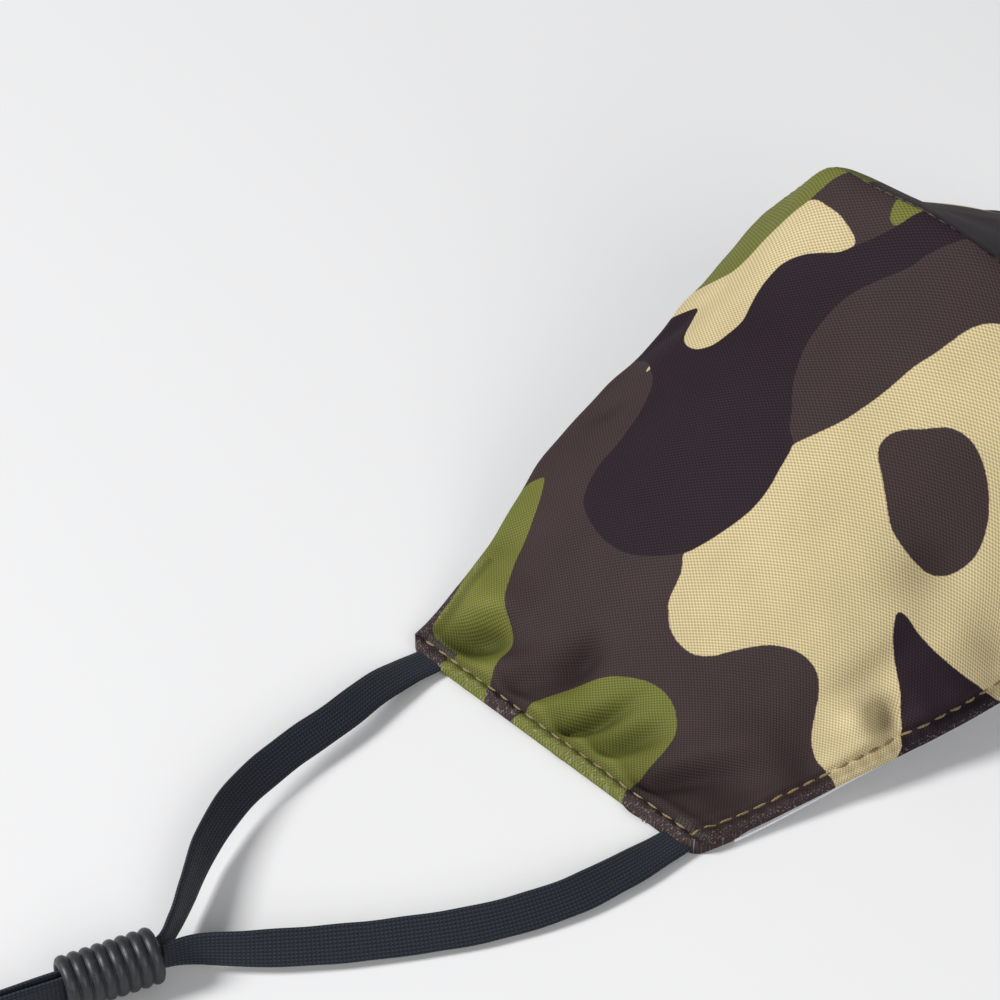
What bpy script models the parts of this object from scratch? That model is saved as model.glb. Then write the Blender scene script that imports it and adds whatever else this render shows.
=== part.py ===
"""Contoured cloth face mask in a camouflage print, with elastic ear loops and ribbed rubber adjusters.

It lies open on a table, convex side up, on its two side hems. X runs from ear to ear, Y from chin to nose,
and Z up from the table. The origin is at the bottom centre of the mask body. Lengths below are millimetres.
"""

import math

import bpy
import numpy as np
from mathutils import Vector

MM = 0.001

# The mask body.
HALF_WIDTH = 96.0
SEAM_GAP = 0.2
HEM_HALF_LENGTH = 36.0
HEM_MIDDLE_Y = 4.0
HEM_SLANT = 0.05
HEM_HEIGHT = 2.4
FOOT_ROUNDING = 7.0

# The ridge along the centre seam, as a cubic curve from the chin to the nose in Y and Z.
CHIN = (-51.4, 15.5)
CHIN_PULL = (-44.2, 77.5)
NOSE_PULL = (30.3, 81.9)
NOSE = (51.4, 48.5)
FALL_POWER = 1.07
FALL_BULGE = 0.18
NOSE_FALL_POWER = -0.11
NOSE_FALL_BULGE = 0.07
NARROW_POWER = 1.08
CHEEK_OUT = 2.8
CHEEK_MIDDLE = 0.59
CHEEK_SPREAD = 0.15

# The swelling over the nose strip and the hollow beside it: height, then middle and spread over s and over t.
NOSE_CREST = (4.0, 0.0, 0.15, 0.825, 0.071)
NOSE_HOLLOW = (-1.8, 0.22, 0.12, 0.713, 0.176)

# The cloth layers, each measured inward from the outer face.
OUTER_THICKNESS = 0.8
HEM_THICKNESS = 1.4
MIDDLE_TOP = 1.1
MIDDLE_BOTTOM = 1.5
LINING_TOP = 1.8
LINING_BOTTOM = 2.3
WIRE_TOP = 1.05
WIRE_BOTTOM = 1.5

# Grid lines over a panel, from the centre seam (0) to the side hem (1) and from the chin (0) to the nose (1).
S_LINES = np.array([*np.linspace(0.0, 0.9, 17), 0.93, 0.965, 1.0])
T_LINES = np.array([0.0, 0.035, 0.07, *np.linspace(0.12, 0.83, 15), 0.87, 0.9, 0.935, 0.965, 1.0])
SIDE_LIP_START = 0.9
SIDE_LIP_FLAT = 0.93
CHIN_LIP = (0.035, 0.07)
NOSE_LIP = (0.935, 0.965)
MIDDLE_SPAN = (0.07, 0.87)
WIRE_SPAN = (0.878, 0.926)
WIRE_REACH = 0.45
WIRE_STEPS = 8

# Sewing thread.
THREAD_RADIUS = 0.2
THREAD_HEIGHT = 0.45
STITCH_INSET_S = 0.958
STITCH_INSET_T = 0.032
SEAM_THREAD_HEIGHT = 0.62
BARTACK = (2.2, 7.0, 0.7)
BARTACK_S = 0.981
BARTACK_REACH = 0.0125
BARTACK_LIFT = 0.02

# The ear elastic: points with roll in degrees (0 lies flat, 90 stands on edge) and band width.
ELASTIC_THICKNESS = 1.1
ELASTIC_EDGE = 0.4
ELASTIC_STEPS = 5
UPPER_STRAND = (
    (-98.9, 33.5, 1.2, 0, 6.4),
    (-104.5, 33.5, 1.9, 6, 6.4),
    (-112.0, 32.5, 3.2, 18, 6.4),
    (-122.0, 30.5, 4.0, 28, 6.4),
    (-134.5, 29.0, 4.4, 38, 6.4),
    (-147.0, 26.1, 4.6, 50, 6.4),
    (-158.0, 20.5, 4.6, 62, 6.4),
    (-166.5, 14.1, 4.6, 74, 6.2),
    (-172.5, 9.7, 4.7, 84, 5.8),
)
LOWER_STRAND = (
    (-173.0, 3.1, 4.7, 76, 5.8),
    (-166.0, -2.4, 4.4, 60, 6.2),
    (-157.0, -8.5, 3.8, 48, 6.4),
    (-146.0, -15.1, 3.3, 44, 6.4),
    (-133.0, -21.9, 3.1, 42, 6.4),
    (-120.0, -26.3, 3.0, 38, 6.4),
    (-109.0, -27.5, 2.4, 22, 6.4),
    (-101.5, -27.5, 1.6, 6, 6.4),
    (-95.7, -27.5, 1.2, 0, 6.4),
)
ADJUSTER_MOUTH = (-178.2, 6.2)
ADJUSTER_HEADING = 164.0
ADJUSTER_AXIS_Z = 4.75
ADJUSTER_LENGTH = 16.0
ADJUSTER_RIBS = 8
ADJUSTER_CREST = 4.7
ADJUSTER_VALLEY = 4.05
ADJUSTER_BORE = 3.3
ADJUSTER_SIDES = 24
STRAND_APART = 0.8
STRAND_WIDTH_INSIDE = 5.4
TAIL_STRAIGHT = 19.0
TAIL_LOOP = ((24.0, 2.6), (28.5, 5.2), (33.5, 5.8), (37.6, 3.2), (38.8, 0.0))
TAIL_HEIGHT = 3.6


def clear_scene():
    for obj in list(bpy.data.objects):
        bpy.data.objects.remove(obj)


def smooth(value, low, high):
    x = np.clip((value - low) / (high - low), 0.0, 1.0)
    return x * x * (3.0 - 2.0 * x)


def ridge(t):
    """Y and Z of the ridge at t."""
    ends = np.array([CHIN, CHIN_PULL, NOSE_PULL, NOSE])
    t = np.asarray(t, float)[..., None]
    weights = ((1 - t) ** 3, 3 * (1 - t) ** 2 * t, 3 * (1 - t) * t * t, t**3)
    return sum(weight * point for weight, point in zip(weights, ends))


def swelling(s, t, shape):
    height, middle_s, spread_s, middle_t, spread_t = shape
    return height * np.exp(-(((s - middle_s) / spread_s) ** 2) - ((t - middle_t) / spread_t) ** 2)


def outer_point(s, t):
    """A point of the left panel's outer face."""
    s, t = np.broadcast_arrays(np.asarray(s, float), np.asarray(t, float))
    crown = ridge(t)
    hem_y = HEM_HALF_LENGTH * (2.0 * t - 1.0)
    narrowing = s**NARROW_POWER
    near_nose = t**3.1
    fall = np.clip(1.0 - s, 0.0, 1.0) ** (FALL_POWER + NOSE_FALL_POWER * near_nose)
    fall = fall * (1.0 + (FALL_BULGE + NOSE_FALL_BULGE * near_nose) * s)
    x = -(SEAM_GAP + HALF_WIDTH * s + HEM_SLANT * hem_y * s)
    y = (1.0 - narrowing) * crown[..., 0] + narrowing * (hem_y + HEM_MIDDLE_Y)
    y = y + CHEEK_OUT * t**3 * np.exp(-(((s - CHEEK_MIDDLE) / CHEEK_SPREAD) ** 2))
    z = np.hypot(fall * crown[..., 1], FOOT_ROUNDING) - FOOT_ROUNDING + HEM_HEIGHT
    z = z + swelling(s, t, NOSE_CREST) + swelling(s, t, NOSE_HOLLOW)
    return np.stack([x, y, z], -1)


def outward(s, t):
    """The unit normal of the left panel, away from the face."""
    step = 1e-4
    s = np.clip(s, step, 1.0 - step)
    t = np.clip(t, step, 1.0 - step)
    along_s = outer_point(s + step, t) - outer_point(s - step, t)
    along_t = outer_point(s, t + step) - outer_point(s, t - step)
    normal = np.cross(along_t, along_s)
    return normal / np.linalg.norm(normal, axis=-1, keepdims=True)


def layer_point(s, t, depth):
    """A point at this depth under the outer face, mitred where it would cross the centre seam."""
    top = outer_point(s, t)
    normal = outward(s, t)
    depth = np.broadcast_to(depth, s.shape)[..., None]
    point = top - depth * normal
    upright = normal * np.array([0.0, 1.0, 1.0])
    mitred = top - depth * upright / np.sum(upright**2, axis=-1, keepdims=True)
    return np.where(point[..., :1] > -SEAM_GAP, mitred, point)


def outer_depth(s, t):
    """How thick the outer panel is, with its turned edges at the chin and the nose."""
    chin = 1.0 - smooth(t, *CHIN_LIP)
    nose = smooth(t, *NOSE_LIP)
    return OUTER_THICKNESS + (HEM_THICKNESS - OUTER_THICKNESS) * np.maximum(chin, nose)


def outer_inside(s, t):
    """The outer panel's inner face. The side hem is folded down to the table, where it lies flat."""
    point = layer_point(s, t, outer_depth(s, t))
    return_to_table = smooth(s, SIDE_LIP_START, SIDE_LIP_FLAT)
    top = outer_point(s, t)
    folded = point * (1.0 - return_to_table[..., None]) + top * return_to_table[..., None]
    folded[..., 2] = point[..., 2] * (1.0 - return_to_table)
    folded[..., 0] = np.minimum(folded[..., 0], -SEAM_GAP)
    return folded


def slab(top, bottom):
    """Points and triangles of a closed sheet between two grids of the same shape."""
    rows, columns = top.shape[:2]
    points = np.concatenate([top.reshape(-1, 3), bottom.reshape(-1, 3)])
    offset = rows * columns
    faces = []
    for i in range(rows - 1):
        for j in range(columns - 1):
            a = i * columns + j
            b = a + 1
            c = a + columns + 1
            d = a + columns
            faces += [(a, b, c), (a, c, d)]
            faces += [(offset + a, offset + c, offset + b), (offset + a, offset + d, offset + c)]
    rim = [j for j in range(columns)]
    rim += [i * columns + columns - 1 for i in range(1, rows)]
    rim += [(rows - 1) * columns + j for j in range(columns - 2, -1, -1)]
    rim += [i * columns for i in range(rows - 2, 0, -1)]
    for a, b in zip(rim, rim[1:] + rim[:1]):
        faces += [(a, offset + b, b), (a, offset + a, offset + b)]
    return points, faces


def material(name, colour, roughness, metallic=0.0):
    made = bpy.data.materials.new(name)
    made.use_nodes = True
    shader = made.node_tree.nodes["Principled BSDF"]
    shader.inputs["Base Color"].default_value = (*colour, 1.0)
    shader.inputs["Roughness"].default_value = roughness
    shader.inputs["Metallic"].default_value = metallic
    made.diffuse_color = (*colour, 1.0)
    return made


def outward_faces(points, faces):
    """The faces, turned round if together they enclose a negative volume."""
    corners = points[np.array(faces)]
    volume = np.linalg.det(corners).sum()
    return [face[::-1] for face in faces] if volume < 0 else faces


def add_mesh(name, points, faces, look, origin=(0.0, 0.0, 0.0)):
    """One object from points in mm, with its origin at a point given in mm."""
    points = np.asarray(points, float)
    faces = outward_faces(points, faces)
    mesh = bpy.data.meshes.new(name)
    mesh.from_pydata([tuple(p) for p in (points - np.array(origin)) * MM], [], [tuple(f) for f in faces])
    mesh.materials.append(look)
    mesh.polygons.foreach_set("use_smooth", [True] * len(mesh.polygons))
    mesh.update()
    obj = bpy.data.objects.new(name, mesh)
    obj.location = Vector(origin) * MM
    bpy.context.scene.collection.objects.link(obj)
    return obj


def mirrored(points, side):
    """The points for one side: -1 keeps the left one and 1 mirrors it to the right."""
    points = np.array(points, float)
    points[..., 0] *= -side
    return points


def lines_between(lines, low, high):
    return lines[(lines >= low - 1e-9) & (lines <= high + 1e-9)]


def grid(s_lines, t_lines):
    return np.meshgrid(s_lines, t_lines, indexing="ij")


def add_sheet(name, side, top, bottom, look):
    points, faces = slab(top, bottom)
    return add_mesh(name, mirrored(points, side), faces, look)


def add_layers(side, word, looks):
    s, t = grid(S_LINES, T_LINES)
    add_sheet(f"outer_panel_{word}", side, outer_point(s, t), outer_inside(s, t), looks["camo"])
    s, t = grid(lines_between(S_LINES, 0.0, SIDE_LIP_START), lines_between(T_LINES, *MIDDLE_SPAN))
    top = layer_point(s, t, MIDDLE_TOP)
    bottom = layer_point(s, t, MIDDLE_BOTTOM)
    add_sheet(f"middle_layer_{word}", side, top, bottom, looks["felt"])
    s, t = grid(lines_between(S_LINES, 0.0, SIDE_LIP_START), T_LINES)
    top = layer_point(s, t, LINING_TOP)
    bottom = layer_point(s, t, LINING_BOTTOM)
    add_sheet(f"lining_{word}", side, top, bottom, looks["lining"])


def add_nose_wire(look):
    """A strip between the outer cloth and the lining, bent over the ridge."""
    s = np.linspace(WIRE_REACH, 0.0, WIRE_STEPS + 1)
    s, t = grid(s, np.array([WIRE_SPAN[0], sum(WIRE_SPAN) / 2, WIRE_SPAN[1]]))
    faces_of_strip = []
    for depth in (WIRE_TOP, WIRE_BOTTOM):
        left = layer_point(s, t, depth)
        left[-1, :, 0] = 0.0
        right = left[-2::-1] * np.array([-1.0, 1.0, 1.0])
        faces_of_strip.append(np.concatenate([left, right]))
    points, faces = slab(*faces_of_strip)
    add_mesh("nose_wire", points, faces, look)


def add_tube(name, points, radius, look):
    """A round thread as a poly-line curve."""
    curve = bpy.data.curves.new(name, "CURVE")
    curve.dimensions = "3D"
    curve.bevel_depth = radius * MM
    curve.bevel_resolution = 2
    curve.use_fill_caps = True
    spline = curve.splines.new("POLY")
    spline.points.add(len(points) - 1)
    for target, point in zip(spline.points, points):
        target.co = (*(Vector(point) * MM), 1.0)
    curve.materials.append(look)
    obj = bpy.data.objects.new(name, curve)
    bpy.context.scene.collection.objects.link(obj)
    return obj


def topstitch_path():
    """Down the side hem and along the chin edge of the left panel, a little above the cloth."""
    side = [(STITCH_INSET_S, t) for t in np.linspace(1.0 - STITCH_INSET_T, STITCH_INSET_T + 0.03, 18)]
    chin = [(s, STITCH_INSET_T) for s in np.linspace(STITCH_INSET_S - 0.02, 0.012, 26)]
    route = np.array(side + chin)
    return outer_point(route[:, 0], route[:, 1]) + THREAD_HEIGHT * outward(route[:, 0], route[:, 1])


def add_threads(look):
    path = topstitch_path()
    add_tube("topstitch_left", mirrored(path, -1), THREAD_RADIUS, look)
    add_tube("topstitch_right", mirrored(path, 1), THREAD_RADIUS, look)
    t = np.linspace(0.05, 0.95, 40)
    seam = outer_point(np.zeros_like(t), t)
    rise = outward(np.zeros_like(t), t)
    rise[:, 0] = 0.0
    seam = seam + SEAM_THREAD_HEIGHT * rise / np.linalg.norm(rise, axis=1, keepdims=True)
    seam[:, 0] = 0.0
    add_tube("centre_seam_thread", seam, THREAD_RADIUS, look)


def block(centre, size, chamfer):
    """Points and faces of a box with chamfered upper edges, centred in X and Y and standing on centre's Z."""
    x, y, z = (size[0] / 2, size[1] / 2, size[2])
    rings = ((x, y, 0.0), (x, y, z - chamfer), (x - chamfer, y - chamfer, z))
    points = []
    for half_x, half_y, height in rings:
        points += [(-half_x, -half_y, height), (half_x, -half_y, height)]
        points += [(half_x, half_y, height), (-half_x, half_y, height)]
    faces = [(3, 2, 1, 0), (8, 9, 10, 11)]
    for ring in (0, 4):
        for i in range(4):
            j = (i + 1) % 4
            faces.append((ring + i, ring + j, ring + 4 + j, ring + 4 + i))
    return np.array(points) + np.array(centre), faces


def quads_to_triangles(faces):
    return [(f[0], f[i], f[i + 1]) for f in faces for i in range(1, len(f) - 1)]


def add_bartacks(side, word, look):
    """Dense stitching over each end of the elastic."""
    for place, y in (("nose", UPPER_STRAND[0][1]), ("chin", LOWER_STRAND[-1][1])):
        t = (y - HEM_MIDDLE_Y + HEM_HALF_LENGTH) / (2 * HEM_HALF_LENGTH)
        centre = outer_point(BARTACK_S, t)
        centre[2] = outer_point(BARTACK_S - BARTACK_REACH, t)[2] + BARTACK[2] / 2 + BARTACK_LIFT
        points, faces = block(centre, BARTACK, BARTACK[2] / 3)
        add_mesh(f"bartack_{place}_{word}", mirrored(points, side), quads_to_triangles(faces), look)


def adjuster_frame():
    """The adjuster's mouth, its unit axis away from the mask and its unit side direction, for the left side."""
    angle = math.radians(ADJUSTER_HEADING)
    axis = np.array([math.cos(angle), math.sin(angle), 0.0])
    across = np.array([-axis[1], axis[0], 0.0])
    mouth = np.array([*ADJUSTER_MOUTH, ADJUSTER_AXIS_Z])
    return mouth, axis, across


def elastic_knots():
    """The whole band's control points: in along the upper strand, round the tail and back along the lower."""
    mouth, axis, across = adjuster_frame()
    back = -across * STRAND_APART
    front = across * STRAND_APART
    inside = [(0.0, 90, STRAND_WIDTH_INSIDE), (ADJUSTER_LENGTH / 2, 90, STRAND_WIDTH_INSIDE)]
    inside += [(ADJUSTER_LENGTH, 90, STRAND_WIDTH_INSIDE)]
    inside += [(ADJUSTER_LENGTH + TAIL_STRAIGHT, 90, STRAND_WIDTH_INSIDE)]
    going = [(*(mouth + axis * along + back), roll, width) for along, roll, width in inside]
    coming = [(*(mouth + axis * along + front), roll, width) for along, roll, width in reversed(inside)]
    loop = []
    for along, aside in TAIL_LOOP:
        centre = mouth + axis * (ADJUSTER_LENGTH + along) - across * aside
        loop.append((centre[0], centre[1], TAIL_HEIGHT, 90, UPPER_STRAND[0][4]))
    for along, aside in reversed(TAIL_LOOP[:-1]):
        centre = mouth + axis * (ADJUSTER_LENGTH + along) + across * aside
        loop.append((centre[0], centre[1], TAIL_HEIGHT, 90, UPPER_STRAND[0][4]))
    return np.array([*UPPER_STRAND, *going, *loop, *coming, *LOWER_STRAND])


def through(knots, steps):
    """A Catmull-Rom curve through the knots, in every column, with this many steps between two of them."""
    padded = np.vstack([2 * knots[0] - knots[1], knots, 2 * knots[-1] - knots[-2]])
    found = []
    for i in range(1, len(padded) - 2):
        a, b, c, d = padded[i - 1 : i + 3]
        for u in np.arange(steps) / steps:
            cubic = -a + 3 * b - 3 * c + d
            square = 2 * a - 5 * b + 4 * c - d
            found.append(0.5 * (2 * b + (c - a) * u + square * u**2 + cubic * u**3))
    found.append(knots[-1])
    return np.array(found)


def band(route):
    """Points and faces of a flat band with rounded edges along the route."""
    centres = route[:, :3]
    tangents = np.gradient(centres, axis=0)
    tangents /= np.linalg.norm(tangents, axis=1, keepdims=True)
    flat_side = np.cross(tangents, (0.0, 0.0, 1.0))
    flat_side /= np.linalg.norm(flat_side, axis=1, keepdims=True)
    upright = np.cross(flat_side, tangents)
    heading_in = np.cumsum(np.linalg.norm(np.diff(centres, axis=0, prepend=centres[:1]), axis=1))
    turned = np.where(heading_in < heading_in[-1] / 2, 1.0, -1.0)
    roll = np.radians(route[:, 3]) * turned
    roll = np.where(route[:, 3] > 89.0, math.pi / 2, roll)
    wide = flat_side * np.cos(roll)[:, None] + upright * np.sin(roll)[:, None]
    thick = upright * np.cos(roll)[:, None] - flat_side * np.sin(roll)[:, None]
    return tube_of_sections(centres, wide, thick, route[:, 4] / 2, ELASTIC_THICKNESS / 2)


def tube_of_sections(centres, wide, thick, half_widths, half_thickness):
    outline = []
    for half in half_widths:
        inner = half - ELASTIC_EDGE
        outline.append(
            (
                (half, 0.0),
                (inner, half_thickness),
                (-inner, half_thickness),
                (-half, 0.0),
                (-inner, -half_thickness),
                (inner, -half_thickness),
            )
        )
    outline = np.array(outline)
    rings = centres[:, None] + outline[..., :1] * wide[:, None] + outline[..., 1:] * thick[:, None]
    sides = rings.shape[1]
    faces = []
    for i in range(len(rings) - 1):
        for j in range(sides):
            a = i * sides + j
            b = i * sides + (j + 1) % sides
            faces += [(a, b, b + sides), (a, b + sides, a + sides)]
    faces += [(0, j + 1, j) for j in range(1, sides - 1)]
    last = (len(rings) - 1) * sides
    faces += [(last, last + j, last + j + 1) for j in range(1, sides - 1)]
    return rings.reshape(-1, 3), faces


def hinge_origin(side):
    """The middle of the line along the side hem that the loop folds about."""
    return np.array([side * (HALF_WIDTH + SEAM_GAP + 1.5), HEM_MIDDLE_Y, HEM_HEIGHT / 2])


def add_elastic(side, word, look):
    points, faces = band(through(elastic_knots(), ELASTIC_STEPS))
    add_mesh(f"ear_elastic_{word}", mirrored(points, side), faces, look, hinge_origin(side))


def adjuster_profile():
    """The wall's outline as (distance along the axis, radius): out along the ribs and back along the bore."""
    pitch = ADJUSTER_LENGTH / ADJUSTER_RIBS
    outline = []
    for rib in range(ADJUSTER_RIBS):
        start = rib * pitch
        outline += [(start + 0.02 * pitch, ADJUSTER_VALLEY), (start + 0.3 * pitch, ADJUSTER_CREST)]
        outline += [(start + 0.7 * pitch, ADJUSTER_CREST)]
    outline.append((ADJUSTER_LENGTH, ADJUSTER_VALLEY))
    outline += [(ADJUSTER_LENGTH, ADJUSTER_BORE), (outline[0][0], ADJUSTER_BORE)]
    return np.array(outline)


def add_adjuster(side, word, look):
    mouth, axis, across = adjuster_frame()
    profile = adjuster_profile()
    up = np.array([0.0, 0.0, 1.0])
    points = []
    for i in range(ADJUSTER_SIDES):
        angle = 2 * math.pi * i / ADJUSTER_SIDES
        outwards = across * math.cos(angle) + up * math.sin(angle)
        points += [mouth + axis * along + outwards * radius for along, radius in profile]
    count = len(profile)
    faces = []
    for i in range(ADJUSTER_SIDES):
        k = (i + 1) % ADJUSTER_SIDES
        for j in range(count):
            m = (j + 1) % count
            faces += [(i * count + j, k * count + j, k * count + m)]
            faces += [(i * count + j, k * count + m, i * count + m)]
    origin = mirrored(mouth, side)
    add_mesh(f"adjuster_{word}", mirrored(points, side), faces, look, tuple(origin))


def make_looks():
    return {
        "camo": material("camo_polyester", (0.18, 0.16, 0.09), 0.7),
        "felt": material("filter_felt", (0.75, 0.75, 0.74), 0.95),
        "lining": material("white_lining", (0.82, 0.82, 0.84), 0.85),
        "wire": material("nose_wire_aluminium", (0.7, 0.7, 0.72), 0.4, 1.0),
        "thread": material("tan_thread", (0.42, 0.3, 0.12), 0.7),
        "elastic": material("black_elastic", (0.012, 0.014, 0.02), 0.8),
        "rubber": material("charcoal_rubber", (0.022, 0.024, 0.027), 0.6),
    }


def build():
    clear_scene()
    looks = make_looks()
    for side, word in ((-1, "left"), (1, "right")):
        add_layers(side, word, looks)
        add_bartacks(side, word, looks["thread"])
        add_elastic(side, word, looks["elastic"])
        add_adjuster(side, word, looks["rubber"])
    add_nose_wire(looks["wire"])
    add_threads(looks["thread"])


build()
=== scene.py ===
import math

import bpy
import numpy as np
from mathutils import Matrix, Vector


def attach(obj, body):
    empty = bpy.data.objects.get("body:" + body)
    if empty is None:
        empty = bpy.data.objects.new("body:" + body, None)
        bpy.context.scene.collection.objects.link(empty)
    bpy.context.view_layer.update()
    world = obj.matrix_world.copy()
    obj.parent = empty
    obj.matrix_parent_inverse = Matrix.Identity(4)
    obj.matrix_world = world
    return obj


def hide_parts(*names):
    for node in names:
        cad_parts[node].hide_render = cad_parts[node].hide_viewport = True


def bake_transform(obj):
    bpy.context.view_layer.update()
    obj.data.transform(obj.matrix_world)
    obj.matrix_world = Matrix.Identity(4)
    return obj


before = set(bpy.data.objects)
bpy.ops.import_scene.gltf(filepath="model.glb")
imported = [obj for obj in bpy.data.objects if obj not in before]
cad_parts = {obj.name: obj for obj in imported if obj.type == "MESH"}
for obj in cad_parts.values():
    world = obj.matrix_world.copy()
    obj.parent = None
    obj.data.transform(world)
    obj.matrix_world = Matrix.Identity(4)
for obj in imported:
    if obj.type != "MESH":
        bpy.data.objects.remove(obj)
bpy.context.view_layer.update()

MM = 0.001

# The mask body, as in the part: lengths in millimetres.
HALF_WIDTH = 96.0
SEAM_GAP = 0.2
HEM_HALF_LENGTH = 36.0
HEM_MIDDLE_Y = 4.0
HEM_SLANT = 0.05
HEM_HEIGHT = 2.4
FOOT_ROUNDING = 7.0
RIDGE = ((-51.4, 15.5), (-44.2, 77.5), (30.3, 81.9), (51.4, 48.5))
FALL_POWER = 1.07
FALL_BULGE = 0.18
NOSE_FALL_POWER = -0.11
NOSE_FALL_BULGE = 0.07
NARROW_POWER = 1.08
CHEEK_OUT = 2.8
CHEEK_MIDDLE = 0.59
CHEEK_SPREAD = 0.15
NOSE_CREST = (4.0, 0.0, 0.15, 0.825, 0.071)
NOSE_HOLLOW = (-1.8, 0.22, 0.12, 0.713, 0.176)

# Looks of the cloth.
EDGE_THICKNESS = 1.6
CLOTH_THICKNESS = 0.8
CORNER_RADIUS = 4.2
HEM_ROLL = 1.4
STITCH_INSET = 3.8
HEM_STITCH_INSET = 2.9
STITCH_PITCH = 3.3
STITCH_LENGTH = 2.6
STITCH_RADIUS = 0.24
S_CELLS = 170
T_CELLS = 190

# Spans of the cloth in mm, for turning shares of the panel into lengths.
CHIN_SPAN = 97.0
HEM_SPAN = 2.0 * HEM_HALF_LENGTH
U_SPAN = 112.0
V_SPAN = 122.0
RIM_S = 1.0 + HEM_ROLL / CHIN_SPAN


# ---------------------------------------------------------------- camera


def place_camera():
    """From the mask's lower left, as near as the photo shows it."""
    azimuth = math.radians(-40.7)
    elevation = math.radians(40.2)
    away = Vector(
        (
            math.sin(azimuth) * math.cos(elevation),
            -math.cos(azimuth) * math.cos(elevation),
            math.sin(elevation),
        )
    )
    data = bpy.data.cameras.new("camera")
    data.lens = 113.5
    data.sensor_width = 36.0
    data.clip_start = 0.02
    data.clip_end = 20.0
    camera = bpy.data.objects.new("camera", data)
    bpy.context.scene.collection.objects.link(camera)
    camera.location = Vector((-0.0593, 0.0601, 0.0)) + away * 0.599
    camera.rotation_euler = (-away).to_track_quat("-Z", "Y").to_euler()
    bpy.context.scene.camera = camera


place_camera()


# ---------------------------------------------------------------- surface


def smooth(value, low, high):
    """0 below low and 1 above high, with a soft change between them."""
    x = np.clip((value - low) / (high - low), 0.0, 1.0)
    return x * x * (3.0 - 2.0 * x)


def ridge(t):
    """The centre seam's place (y, z) at t: one Bezier curve from chin to nose."""
    ends = np.array(RIDGE)
    t = np.asarray(t, float)[..., None]
    weights = ((1 - t) ** 3, 3 * (1 - t) ** 2 * t, 3 * (1 - t) * t * t, t**3)
    return sum(weight * point for weight, point in zip(weights, ends))


def swelling(s, t, shape):
    """A round rise or hollow: its height, then its middle and spread in s and in t."""
    height, middle_s, spread_s, middle_t, spread_t = shape
    return height * np.exp(-(((s - middle_s) / spread_s) ** 2) - ((t - middle_t) / spread_t) ** 2)


def base_point(s, t):
    """A point of the left panel's plain outer face: s from the seam to the side hem, t from chin to nose."""
    s, t = np.broadcast_arrays(np.asarray(s, float), np.asarray(t, float))
    crown = ridge(t)
    hem_y = HEM_HALF_LENGTH * (2.0 * t - 1.0)
    narrowing = np.clip(s, 0.0, None) ** NARROW_POWER
    near_nose = np.clip(t, 0.0, None) ** 3.1
    fall = np.clip(1.0 - s, 0.0, 1.0) ** (FALL_POWER + NOSE_FALL_POWER * near_nose)
    fall = fall * (1.0 + (FALL_BULGE + NOSE_FALL_BULGE * near_nose) * s)
    x = -(SEAM_GAP + HALF_WIDTH * s + HEM_SLANT * hem_y * s)
    y = (1.0 - narrowing) * crown[..., 0] + narrowing * (hem_y + HEM_MIDDLE_Y)
    y = y + CHEEK_OUT * t**3 * np.exp(-(((s - CHEEK_MIDDLE) / CHEEK_SPREAD) ** 2))
    z = np.hypot(fall * crown[..., 1], FOOT_ROUNDING) - FOOT_ROUNDING + HEM_HEIGHT
    z = z + swelling(s, t, NOSE_CREST) + swelling(s, t, NOSE_HOLLOW)
    return np.stack([x, y, z], -1)


def base_normal(s, t):
    step = 1e-4
    s = np.clip(s, step, 1.0 - step)
    t = np.clip(t, step, 1.0 - step)
    along_s = base_point(s + step, t) - base_point(s - step, t)
    along_t = base_point(s, t + step) - base_point(s, t - step)
    normal = np.cross(along_t, along_s)
    return normal / np.linalg.norm(normal, axis=-1, keepdims=True)


def panel_length_s(t):
    """The cloth's length from the centre seam to the side hem at t, in mm."""
    return CHIN_SPAN + 17.0 * np.sin(np.pi * np.clip(t, 0, 1) / 1.3)


def panel_length_t(s):
    """The cloth's length from chin to nose at s, in mm."""
    return 138.0 - 66.0 * np.clip(s, 0, 1) ** 1.05


def edge_distances(s, t):
    """How far the chin, the nose and the side hem edges are, in mm along the cloth."""
    chin = t * panel_length_t(s)
    nose = (1.0 - t) * panel_length_t(s)
    side = (1.0 - s) * panel_length_s(t) + HEM_ROLL
    return chin, nose, side


def waves(u, v, seed, count, shortest, longest):
    """A smooth repeatable pattern about as high as 1, from sines of chosen wavelengths in mm."""
    picks = np.random.default_rng(seed)
    total = np.zeros(np.broadcast(u, v).shape)
    for _ in range(count):
        wavelength = shortest * (longest / shortest) ** picks.random()
        heading = picks.random() * math.pi
        phase = picks.random() * 2 * math.pi
        along = u * math.cos(heading) + v * math.sin(heading)
        total = total + np.sin(2 * math.pi * along / wavelength + phase)
    return total / math.sqrt(count)


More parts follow.
